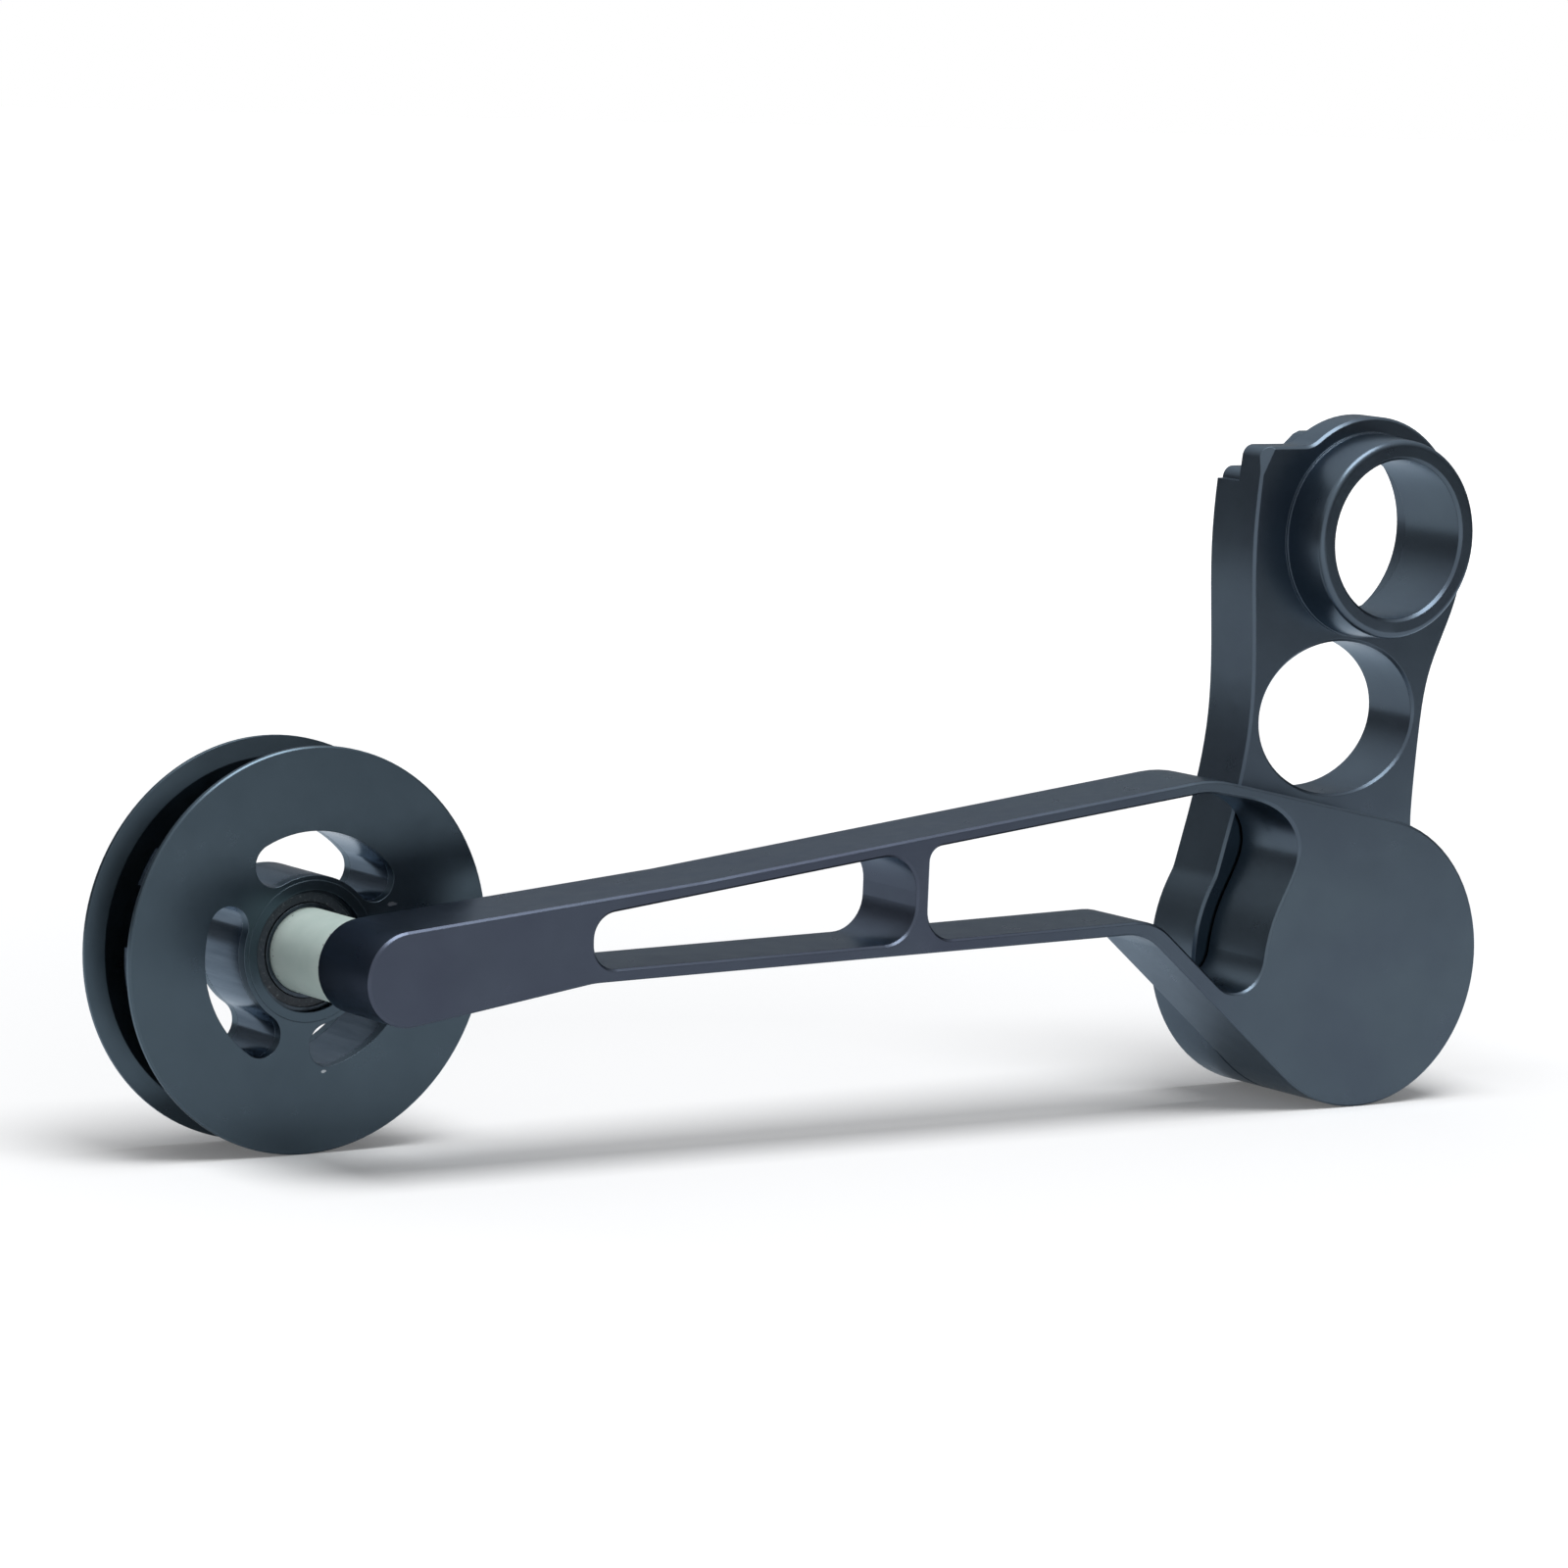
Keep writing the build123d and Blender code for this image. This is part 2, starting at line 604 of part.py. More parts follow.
# Axle bolt: screwed into the arm's tip from behind.
with BuildPart() as axle_bolt:
    with BuildSketch(wheel_face(axle_washer_rear + axle_head_t)):
        Circle(axle_head_r)
    extrude(amount=axle_head_t)
    chamfer(axle_bolt.edges().filter_by(GeomType.CIRCLE).sort_by(Axis.Y)[-1], 0.5)
    with BuildSketch(wheel_face(axle_washer_rear)):
        Circle(bolt_r)
    extrude(amount=axle_washer_rear - arm_back + bolt_in_arm - 0.5)
    with BuildSketch(wheel_face(axle_washer_rear + axle_head_t)):
        RegularPolygon(axle_hex / 2, 6, major_radius=False)
    extrude(amount=axle_head_t - 0.5, mode=Mode.SUBTRACT)
axle_bolt.part.label = "axle_bolt"
export_step(axle_bolt.part, "parts/axle_bolt.step")


# The three kidney slots lighten the whole width of the wheel.
slot_lines = []
for number in range(slot_count):
    slot_start = slot_angle + number * 360 / slot_count - slot_span / 2
    slot_lines.append(CenterArc((0, 0), (slot_inner_r + slot_outer_r) / 2, slot_start, slot_span))
with BuildSketch(wheel_face(wheel_rear)) as wheel_slots:
    for slot_line in slot_lines:
        SlotArc(arc=slot_line, height=slot_outer_r - slot_inner_r)

# Toothed hub: the core of the guide wheel, with its teeth between the two flanges.
groove_front = wheel_front + plate_t
groove_rear = wheel_rear - plate_t
with BuildPart() as toothed_hub:
    with BuildSketch(lengthwise(wheel_x, wheel_z)):
        tooth_front = wheel_mid - tooth_t / 2
        tooth_rear = wheel_mid + tooth_t / 2
        Polygon(
            (shoulder_r, wheel_front), (boss_r, wheel_front), (boss_r, groove_front),
            (core_r, groove_front), (core_r, tooth_front),
            (tooth_tip_r - 3 * tooth_bevel, tooth_front),
            (tooth_tip_r, tooth_front + tooth_bevel),
            (tooth_tip_r, tooth_rear - tooth_bevel),
            (tooth_tip_r - 3 * tooth_bevel, tooth_rear), (core_r, tooth_rear),
            (core_r, groove_rear), (boss_r, groove_rear), (boss_r, wheel_rear),
            (shoulder_r, wheel_rear), align=None,
        )
    revolve(axis=wheel_axis)
    with BuildSketch(wheel_face(wheel_rear)):
        with PolarLocations(tooth_pitch_r, teeth, start_angle=tooth_angle):
            Circle(roller_seat_r)
    extrude(amount=wheel_w, mode=Mode.SUBTRACT)
    extrude(wheel_slots.sketch, amount=wheel_w, dir=outward, mode=Mode.SUBTRACT)
    for pocket_mouth, direction in ((wheel_front, -1), (wheel_rear, 1)):
        with BuildSketch(wheel_face(pocket_mouth)):
            Circle(bearing_r + fit_gap)
        extrude(amount=direction * (bearing_sink + bearing_w), mode=Mode.SUBTRACT)
toothed_hub.part.label = "toothed_hub"
export_step(toothed_hub.part, "parts/toothed_hub.step")


def flange_section(outer_face, inward):
    """Section of a flange plate; its inner side is bevelled towards the rim."""
    inner_face = outer_face + inward * plate_t
    rim_face = outer_face + inward * plate_rim_t
    edge = outer_face + inward * plate_edge
    bore = boss_r + fit_gap
    return [(bore, outer_face), (flange_r - plate_edge, outer_face), (flange_r, edge),
            (flange_r, rim_face), (flange_r - plate_bevel, inner_face), (bore, inner_face)]


# Flange plates: thin discs pressed on the hub's boss, one on each side of the chain.
with BuildPart() as front_flange:
    with BuildSketch(lengthwise(wheel_x, wheel_z)):
        Polygon(*flange_section(wheel_front, 1), align=None)
    revolve(axis=wheel_axis)
    extrude(wheel_slots.sketch, amount=wheel_w, dir=outward, mode=Mode.SUBTRACT)
front_flange.part.label = "front_flange"
export_step(front_flange.part, "parts/front_flange.step")

with BuildPart() as rear_flange:
    with BuildSketch(lengthwise(wheel_x, wheel_z)):
        Polygon(*flange_section(wheel_rear, -1), align=None)
    revolve(axis=wheel_axis)
    extrude(wheel_slots.sketch, amount=wheel_w, dir=outward, mode=Mode.SUBTRACT)
rear_flange.part.label = "rear_flange"
export_step(rear_flange.part, "parts/rear_flange.step")

# Bearings: two thin sealed needle bearings, their like pieces made together.
with BuildPart() as bearing_outer_races:
    for y in bearing_places:
        with BuildSketch(wheel_face(y + bearing_w / 2)):
            Circle(bearing_r)
            Circle(outer_race_bore_r, mode=Mode.SUBTRACT)
        extrude(amount=bearing_w)
bearing_outer_races.part.label = "bearing_outer_races"
export_step(bearing_outer_races.part, "parts/bearing_outer_races.step")

with BuildPart() as bearing_inner_races:
    for y in bearing_places:
        with BuildSketch(wheel_face(y + bearing_w / 2)):
            Circle(inner_race_r)
            Circle(race_bore_r, mode=Mode.SUBTRACT)
        extrude(amount=bearing_w)
bearing_inner_races.part.label = "bearing_inner_races"
export_step(bearing_inner_races.part, "parts/bearing_inner_races.step")

with BuildPart() as bearing_needles:
    for y in bearing_places:
        with Locations(wheel_face(y)):
            with PolarLocations(needle_orbit_r, needle_count):
                Cylinder(needle_r, needle_l)
bearing_needles.part.label = "bearing_needles"
export_step(bearing_needles.part, "parts/bearing_needles.step")

window_w = 2 * (needle_r + needle_clearance)
window_l = needle_l + 2 * needle_clearance
with BuildPart() as bearing_cages:
    for y in bearing_places:
        with BuildSketch(wheel_face(y + cage_w / 2)):
            Circle(needle_orbit_r + cage_t / 2)
            Circle(needle_orbit_r - cage_t / 2, mode=Mode.SUBTRACT)
        extrude(amount=cage_w)
        with Locations(wheel_face(y)):
            with PolarLocations(needle_orbit_r, needle_count):
                Box(3 * cage_t, window_w, window_l, mode=Mode.SUBTRACT)
bearing_cages.part.label = "bearing_cages"
export_step(bearing_cages.part, "parts/bearing_cages.step")

with BuildPart() as bearing_seals:
    for y in bearing_places:
        for side in (-1, 1):
            outer_face = y + side * (bearing_w / 2 - seal_sink)
            with BuildSketch(wheel_face(outer_face)):
                Circle(outer_race_bore_r - fit_gap)
                Circle(inner_race_r + seal_lip_gap, mode=Mode.SUBTRACT)
            extrude(amount=side * seal_t)
bearing_seals.part.label = "bearing_seals"
export_step(bearing_seals.part, "parts/bearing_seals.step")

# Bearing spacer: keeps the two inner races apart as they slide along the sleeve.
with BuildPart() as bearing_spacer:
    with BuildSketch(wheel_face(rear_bearing_y - bearing_w / 2)):
        Circle(inner_race_r)
        Circle(race_bore_r, mode=Mode.SUBTRACT)
    extrude(amount=rear_bearing_y - front_bearing_y - bearing_w)
bearing_spacer.part.label = "bearing_spacer"
export_step(bearing_spacer.part, "parts/bearing_spacer.step")
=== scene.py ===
# %% [markdown]
# # A bicycle chain tensioner, dressed for its picture
# The solids come ready made: a milled bracket, a swing arm and a toothed guide wheel, all in metres and in
# one frame. This file adds what makes them look like the real product: the camera, soft studio light, dark
# blue-grey anodising with its fine grain, a pale sleeve, rubber seals and small marks of use.

# %% Load the solids
import math

import bpy
from mathutils import Matrix, Vector


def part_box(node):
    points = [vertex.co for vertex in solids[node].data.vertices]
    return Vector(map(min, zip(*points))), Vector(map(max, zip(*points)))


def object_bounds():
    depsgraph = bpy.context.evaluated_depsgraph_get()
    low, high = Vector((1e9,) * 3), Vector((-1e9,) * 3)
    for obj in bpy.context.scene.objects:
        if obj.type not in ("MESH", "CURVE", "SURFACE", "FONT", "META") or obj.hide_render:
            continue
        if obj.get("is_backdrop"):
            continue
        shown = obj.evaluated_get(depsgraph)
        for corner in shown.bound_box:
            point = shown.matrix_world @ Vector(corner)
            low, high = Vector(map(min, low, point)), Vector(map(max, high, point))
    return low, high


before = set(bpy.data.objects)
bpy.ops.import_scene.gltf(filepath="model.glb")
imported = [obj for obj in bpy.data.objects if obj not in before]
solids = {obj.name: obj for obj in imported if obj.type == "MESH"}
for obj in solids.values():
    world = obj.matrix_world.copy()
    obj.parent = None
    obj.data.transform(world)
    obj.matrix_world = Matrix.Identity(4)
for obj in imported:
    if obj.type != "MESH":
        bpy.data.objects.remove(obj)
solid_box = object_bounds()
mm = 0.001

# %% [markdown]
# ## Places to measure from
# The studio and some of the finishes need to know where the two axles and the floor are. The places could
# be typed in, but a typed place stays behind when the part changes, so they are read from the solids. The
# guide wheel's axle is the middle of its front flange, and the pivot is the middle of its pin.

# %% Find the two axles and the floor
def middle(node):
    """The centre of a solid's box."""
    low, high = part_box(node)
    return (low + high) / 2


axle = middle("front_flange")
pivot = middle("pivot_pin")
floor_z = solid_box[0].z
for title, place in (("axle", axle), ("pivot", pivot)):
    print(title, "at", [round(value / mm, 1) for value in place], "mm")

# %% [markdown]
# ## The camera
# The picture was taken from the left and a little above, with a long lens, so that the arm hardly tapers,
# and with the camera slightly tilted. A Track To constraint could aim the camera at the part, but it can't
# hold a tilt. So the place, heading, dip and tilt are plain values, and the three axes of the camera are
# worked out from them: right, up, and back towards the photographer.

# %% Camera
camera_place = Vector((-550.33, -661.07, 72.63)) * mm
camera_heading = math.radians(34.921)    # clockwise from plus Y, seen from above
camera_dip = math.radians(7.276)
camera_tilt = math.radians(-2.377)
camera_lens = 148.86                     # millimetres
picture_width = 36                       # millimetres, inside the camera
nearest_shown = 10 * mm


def aim(heading, dip, tilt):
    """Rotation of a camera with this heading, dip below the horizon and tilt about its line of sight."""
    level = math.cos(dip)
    ahead = Vector((math.sin(heading) * level, math.cos(heading) * level, -math.sin(dip)))
    right = Vector((math.cos(heading), -math.sin(heading), 0))
    down = ahead.cross(right)
    tilted_right = math.cos(tilt) * right + math.sin(tilt) * down
    tilted_down = math.cos(tilt) * down - math.sin(tilt) * right
    return Matrix((tilted_right, -tilted_down, -ahead)).transposed()


lens = bpy.data.cameras.new("studio_camera")
lens.sensor_width = picture_width
lens.lens = camera_lens
lens.clip_start = nearest_shown
camera = bpy.data.objects.new("studio_camera", lens)
camera_turn = aim(camera_heading, camera_dip, camera_tilt)
camera.matrix_world = Matrix.Translation(camera_place) @ camera_turn.to_4x4()
bpy.context.scene.collection.objects.link(camera)
bpy.context.scene.camera = camera
bpy.context.scene.view_settings.view_transform = "Standard"
print("camera", round(camera_place.length, 2), "m from the bore")

# %% [markdown]
# ## A bench for node trees
# Blender makes surfaces and sky from nodes: small boxes that each do one step, joined by wires. They can be
# drawn by hand in the shader editor. Here the script adds them, so that every value can be read and changed
# in one place. The bench keeps that short: it adds a node and wires it in one line, and it has a name for
# each step that comes back often.

# %% The bench
class Bench:
    """Short ways to add nodes to a node tree and to wire them."""

    def __init__(self, tree):
        self.tree = tree

    def fill(self, socket, value):
        """Wires another socket into this one, or sets a plain number or colour on it."""
        if isinstance(value, bpy.types.NodeSocket):
            self.tree.links.new(value, socket)
        else:
            socket.default_value = value

    def node(self, kind, filled=None, **settings):
        """Adds a node, sets its properties, and fills the sockets that are named."""
        made = self.tree.nodes.new(kind)
        for key, value in settings.items():
            setattr(made, key, value)
        for socket, value in (filled or {}).items():
            self.fill(made.inputs[socket], value)
        return made

    def number(self, kind, first, second=0.0, clamp=False):
        """One step of arithmetic on numbers."""
        step = self.node("ShaderNodeMath", {0: first, 1: second}, operation=kind, use_clamp=clamp)
        return step.outputs[0]

    def vector(self, kind, first, second=(0, 0, 0), result="Vector"):
        """One step of arithmetic on places or colours."""
        step = self.node("ShaderNodeVectorMath", {0: first, 1: second}, operation=kind)
        return step.outputs[result]

    def axis(self, place, letter):
        """The X, Y or Z of a place or direction."""
        return self.node("ShaderNodeSeparateXYZ", {0: place}).outputs[letter]

    def spread(self, value, start, end, low=0.0, high=1.0):
        """Low up to the start, high beyond the end, and an even change between the two."""
        filled = {"Value": value, "From Min": start, "From Max": end, "To Min": low, "To Max": high}
        return self.node("ShaderNodeMapRange", filled).outputs["Result"]

    def backdrop_rays(self):
        """1 for rays from the camera and for reflected and see-through ones, 0 for light that is shed."""
        path = self.node("ShaderNodeLightPath")
        total = path.outputs["Is Camera Ray"]
        for kind in ("Is Glossy Ray", "Is Transmission Ray"):
            total = self.number("ADD", total, path.outputs[kind], clamp=True)
        return total


print("the bench has", [name for name in vars(Bench) if not name.startswith("_")])

# %% [markdown]
# ## A finish and its patterns
# Each finish is one Principled shader, which can play metal, plastic or rubber, fed by a few small
# patterns. The patterns could come from pictures wrapped round the part, but those stretch and show seams.
# These are worked out in millimetres at each point of the piece itself, so they keep their size and move
# with it.

# %% Finish
class Finish(Bench):
    """A material in the making: its Principled shader and the patterns that feed it."""

    def __init__(self, name, colour, metallic, roughness):
        self.material = bpy.data.materials.new(name)
        self.material.use_nodes = True
        super().__init__(self.material.node_tree)
        self.shader = self.tree.nodes["Principled BSDF"]
        self.place = self.node("ShaderNodeTexCoord").outputs["Object"]
        self.colour = colour
        self.give("Base Color", (*colour, 1))
        self.give("Metallic", metallic)
        self.give("Roughness", roughness)

    def give(self, socket, value):
        """Wires a pattern into the shader, or sets a plain number or colour on it."""
        self.fill(self.shader.inputs[socket], value)

    def noise(self, size, detail=2.0, rough=0.5, place=None):
        """Cloudy pattern with patches of about this size, in millimetres."""
        filled = {
            "Vector": place or self.place, "Scale": 1 / (size * mm), "Detail": detail, "Roughness": rough}
        return self.node("ShaderNodeTexNoise", filled).outputs["Fac"]

    def blend(self, factor, first, second):
        """Mixes two colours, each a socket or a red, green, blue triple."""
        factor_in, first_in, second_in, colour_out = 0, 6, 7, 2
        mix = self.node("ShaderNodeMix", {factor_in: factor}, data_type="RGBA")
        for socket, colour in ((first_in, first), (second_in, second)):
            self.fill(mix.inputs[socket], (*colour, 1) if isinstance(colour, tuple) else colour)
        return mix.outputs[colour_out]

    def rounded(self, radius):
        """The direction of the surface, with corners softened to this radius in millimetres."""
        return self.node("ShaderNodeBevel", {"Radius": radius * mm}, samples=4).outputs["Normal"]

    def edges(self, radius):
        """1 along edges of this radius in millimetres, 0 on the flats."""
        flat_turn, edge_turn = 0.02, 0.16
        flat = self.node("ShaderNodeNewGeometry").outputs["Normal"]
        alike = self.vector("DOT_PRODUCT", self.rounded(radius), flat, "Value")
        return self.spread(self.number("SUBTRACT", 1.0, alike), flat_turn, edge_turn)

    def bump(self, height, depth, strength, radius):
        """Raises the surface by a height pattern, depth in millimetres, over corners of this radius."""
        filled = {
            "Height": height, "Distance": depth * mm, "Strength": strength, "Normal": self.rounded(radius)}
        self.give("Normal", self.node("ShaderNodeBump", filled).outputs["Normal"])


print("a finish adds", [name for name in vars(Finish) if not name.startswith("_")])

# %% [markdown]
# ## The white floor
# A small product like this is shot on a white table. The floor here is a big white sheet. It is lit like
# everything else, so it keeps the soft shadow, and it gives off a little light of its own towards the
# camera, which brings the open floor up to pure white. More lamp light could do that too, but it would
# bleach the part. The glow grows with the distance, so the shadow near the part keeps its depth.

# %% White floor
def sheet(name, corners, faces, finish):
    """A bare sheet of the studio, without thickness."""
    mesh = bpy.data.meshes.new(name)
    mesh.from_pydata(corners, [], faces)
    mesh.materials.append(finish.material)
    made = bpy.data.objects.new(name, mesh)
    bpy.context.scene.collection.objects.link(made)
    return made


floor_reach = 4.0                        # metres to each side
glow_from, glow_to = 0.08, 0.90          # metres from the part
near_glow, far_glow = 0.12, 1.0
white = (1, 1, 1, 1)
paper = Finish("white_paper", (0.850, 0.857, 0.868), 0.0, 0.9)
below_part = ((axle.x + pivot.x) / 2, 0, floor_z)
away = paper.vector("DISTANCE", paper.place, below_part, "Value")
glow = paper.spread(away, glow_from, glow_to, near_glow, far_glow)
paper.give("Emission Color", white)
paper.give("Emission Strength", paper.number("MULTIPLY", glow, paper.backdrop_rays()))
paper.give("Specular IOR Level", 0.1)
floor_corners = [
    (x * floor_reach, y * floor_reach, floor_z) for x, y in ((-1, -1), (1, -1), (1, 1), (-1, 1))]
floor = sheet("studio_floor", floor_corners, [(0, 1, 2, 3)], paper)
floor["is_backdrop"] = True
print("floor at", round(floor_z / mm, 1), "mm")

# %% [markdown]
# ## The backdrop
# Behind the part the picture is plain white. A second sheet could stand there, but it would have to be lit,
# so the world's colour is used. What the camera and the metal see of it is full white. The light that it
# sheds is only a soft grey, so that the part isn't washed out.

# %% Backdrop
shed_level = 0.22
world = bpy.data.worlds.new("studio_backdrop")
world.use_nodes = True
bpy.context.scene.world = world
sky = Bench(world.node_tree)
backdrop = sky.tree.nodes["Background"]
sky.fill(backdrop.inputs["Color"], white)
sky.fill(backdrop.inputs["Strength"], sky.spread(sky.backdrop_rays(), 0.0, 1.0, shed_level, 1.0))
print("backdrop sheds", shed_level, "of the white that it shows")

# %% [markdown]
# ## The lamp
# The shadow in the picture is a soft, narrow strip straight under the part. A sun or a point lamp would
# draw a hard edge, so the only lamp is a large softbox overhead, a little towards the photographer. Its
# power is given for a white card at the part: 1 would light the card to pure white.

# %% Softbox
lit_point = Vector((-0.07, -0.005, -0.04))
softbox_place = Vector((-0.07, -0.22, 0.85))
softbox_size = 0.62
card_level = 1.02
softbox = bpy.data.lights.new("overhead_softbox", "AREA")
softbox.shape = "SQUARE"
softbox.size = softbox_size
softbox.energy = card_level * math.pi ** 2 * (softbox_place - lit_point).length ** 2
lamp = bpy.data.objects.new("overhead_softbox", softbox)
lamp.location = softbox_place
lamp.rotation_euler = (lit_point - softbox_place).to_track_quat("-Z", "Y").to_euler()
bpy.context.scene.collection.objects.link(lamp)
print("softbox of", round(softbox.energy, 1), "W")

# %% [markdown]
# ## The dim room
# Smooth metal shows what stands round it. In the picture the upright faces are dark and only the surfaces
# that look up or towards the photographer are light, so the metal must have seen a dim room round the white
# table. A darker backdrop could give that too, but it would also darken the surfaces that look up. So a low
# grey wall stands in for the room: an open ring that fades out towards its foot and its top and leaves no
# hard line in the bores. Only the reflections see it. It casts no shadow and takes no light from the table.

# %% Dim wall
wall_reach = 0.38                        # metres, like the heights below
wall_foot = 0.012                        # height that the fading in at the foot takes
wall_solid, wall_top = 0.15, 0.44        # heights where the fading out starts and ends
wall_posts = 48
wall_from, wall_to = 250, 540            # compass headings; the gap is on the photographer's side
dim_grey = Finish("dim_grey_wall", (0.25, 0.25, 0.255), 0.0, 0.5)
height = dim_grey.axis(dim_grey.place, "Z")
foot_fade = dim_grey.spread(height, floor_z, floor_z + wall_foot)
top_fade = dim_grey.spread(height, floor_z + wall_top, floor_z + wall_solid)
dim_grey.give("Alpha", dim_grey.number("MULTIPLY", foot_fade, top_fade))
post_step = (wall_to - wall_from) / (wall_posts - 1)
turns = [math.radians(wall_from + post * post_step) for post in range(wall_posts)]
wall_corners = [
    (lit_point.x + wall_reach * math.sin(turn), wall_reach * math.cos(turn), floor_z + z)
    for z in (0, wall_top) for turn in turns]
wall_faces = [(k, k + 1, k + 1 + wall_posts, k + wall_posts) for k in range(wall_posts - 1)]
wall = sheet("studio_wall", wall_corners, wall_faces, dim_grey)
wall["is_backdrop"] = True
wall.visible_camera = False
wall.visible_diffuse = False
wall.visible_shadow = False
print("wall of", len(wall_faces), "panels,", wall_reach, "m away")

# %% [markdown]
# ## Dark blue-grey anodising
# Bracket, arm and wheel are milled from aluminium, tumbled until they are satin, and anodised a dark
# blue-grey. A dark plastic shader would be the quick way, but the dyed oxide is part of the metal, so the
# shader stays metallic, with a dark bluish colour. Three things keep it from looking like paint: cloudy
# patches a few millimetres wide where the dye took a little differently, a very fine grain, and thin paler
# lines along the edges, where the oxide is rubbed thin.

# %% Anodising recipe
deep_dye = (0.071, 0.093, 0.121)
pale_dye = (0.079, 0.106, 0.132)
thin_oxide = (0.30, 0.33, 0.38)
cool_graze = (0.80, 0.90, 1.0, 1)        # tint of what the oxide mirrors at a glancing angle
satin = 0.30                             # roughness, which goes up and down by the next value
satin_change = 0.03
edge_wear = 0.07                         # share of thin oxide along the edges
edge_radius = 0.14


def anodised(name, deep=deep_dye, pale=pale_dye):
    """Satin anodising between a deep and a pale dye, open to a piece's own tool marks."""
    finish = Finish(name, deep, 1.0, satin)
    clouds = finish.spread(finish.noise(14, detail=3.0), 0.35, 0.7)
    patches = finish.spread(finish.noise(1.6, detail=3.0, rough=0.7), 0.38, 0.62, 0.35, 1.0)
    worn = finish.number("MULTIPLY", finish.edges(edge_radius), patches)
    worn = finish.number("MULTIPLY", worn, edge_wear, clamp=True)
    finish.colour = finish.blend(worn, finish.blend(clouds, deep, pale), thin_oxide)
    gloss = finish.noise(5, detail=4.0, rough=0.6)
    roughness = finish.spread(gloss, 0.3, 0.7, satin - satin_change, satin + satin_change)
    finish.give("Base Color", finish.colour)
    finish.give("Roughness", roughness)
    finish.give("Specular Tint", cool_graze)
    return finish


def raise_grain(finish, marks=None, radius=edge_radius):
    """Raises the fine grain that the tumbling left, and a piece's own tool marks with it."""
    height = finish.noise(0.25, detail=2.0, rough=0.6)
    if marks is not None:
        height = finish.number("ADD", marks, height)
    finish.bump(height, depth=0.004, strength=0.35, radius=radius)


milled = anodised("anodised_milled")
raise_grain(milled)
print("milled finish has", len(milled.tree.nodes), "nodes")

# %% [markdown]
# ## The arm's painted shade
# On the arm the slender rails and the tip are painted darker and less green than the thick spring housing:
# a painted shade for the lesser light that they reflect. Two materials would meet in a line, so one finish
# goes from the housing's colour to the darker one, over a few centimetres beyond the housing.

# %% Arm finish
# The darker colour that the rails and the tip get here is painted shade.
rail_shade_tone = (0.82, 0.74, 0.81)        # share of the housing's red, green and blue that the rails keep
shade_from, shade_to = pivot.x - 20 * mm, pivot.x - 65 * mm
arm_finish = anodised("anodised_arm")
rail_shade = arm_finish.spread(arm_finish.axis(arm_finish.place, "X"), shade_from, shade_to)
shaded_rail_colour = arm_finish.vector("MULTIPLY", arm_finish.colour, rail_shade_tone)
arm_finish.give("Base Color", arm_finish.blend(rail_shade, arm_finish.colour, shaded_rail_colour))
raise_grain(arm_finish)
print("arm changes tone over", round((shade_from - shade_to) / mm), "mm")

# %% [markdown]
# ## Turned flanges
# The two flanges were turned on a lathe before anodising, so they carry very fine rings about the axle.
# Rings could be cut into the mesh, but they are finer than any mesh should be. Here they come from the
# distance to the axle: taking the axle's place away from the point and dropping the part along the axle
# leaves a flat distance, and a noise over it gives rings of uneven depth.

# %% Rings about the axle
def rings(finish, centre, pitch):
    """Uneven fine rings about a line along Y, this far apart in millimetres."""
    offset = finish.vector("SUBTRACT", finish.place, tuple(centre))
    flat_offset = finish.vector("MULTIPLY", offset, (1, 0, 1))
    radius = finish.vector("LENGTH", flat_offset, result="Value")
    outwards = finish.node("ShaderNodeCombineXYZ", {"X": radius}).outputs["Vector"]
    return finish.noise(pitch, detail=3.0, rough=0.7, place=outwards)


ring_pitch = 0.16
ring_share = 1.6                         # depth of the rings, against 1 for the grain
turned = anodised("anodised_turned", deep=(0.060, 0.084, 0.106), pale=(0.068, 0.095, 0.118))
raise_grain(turned, turned.number("MULTIPLY", rings(turned, axle, ring_pitch), ring_share))
print("turned finish has", len(turned.tree.nodes), "nodes")

# %% [markdown]
# ## Two nicks
# Near the slots of the front flange something hard has knocked off the anodising in two places, and the
# bare metal shows. The nicks are no deeper than the oxide, so they are spots of another colour and not
# dents. Each is a distance from its place, flattened and made ragged by a noise.

# %% Nicks in the front flange
bare_metal = (0.42, 0.45, 0.48)
nick_flatness = 2.4                      # a nick is this many times wider than high
nick_core = 0.85                         # share of its width where a nick starts to fade
nick_cover = 0.8                         # how far the bare metal hides the dye in the middle


def nick(finish, place, width):
    """Bares the metal in a ragged spot about this many millimetres wide."""
    offset = finish.vector("SUBTRACT", finish.place, place)
    stretched = finish.vector("MULTIPLY", offset, (1, 1, nick_flatness))
    reach = finish.vector("LENGTH", stretched, result="Value")
    tatters = finish.number("MULTIPLY", finish.noise(0.5, detail=4.0, rough=0.8), width * mm)
    ragged = finish.number("ADD", reach, tatters)
    spot = finish.spread(ragged, nick_core * width * mm, width * mm, nick_cover, 0.0)
    finish.colour = finish.blend(spot, finish.colour, bare_metal)
    finish.give("Base Color", finish.colour)


flange_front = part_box("front_flange")[0].y
nicks = ((-141.6, -43.9, 1.5), (-150.5, -64.0, 1.0))    # X, Z and width, in millimetres
for x, z, width in nicks:
    nick(turned, (x * mm, flange_front, z * mm), width)
print(len(nicks), "nicks in the front flange")

# %% [markdown]
# ## The hub's cut walls
# The slots were milled right through the hub before anodising. Their walls look across the axle, so the
# direction of the surface tells them apart from the turned faces, and no face has to be picked by hand. The
# cutter left them smoother than the tumbled outside, with faint streaks that run through the wheel: a noise
# that is drawn out along the axle.

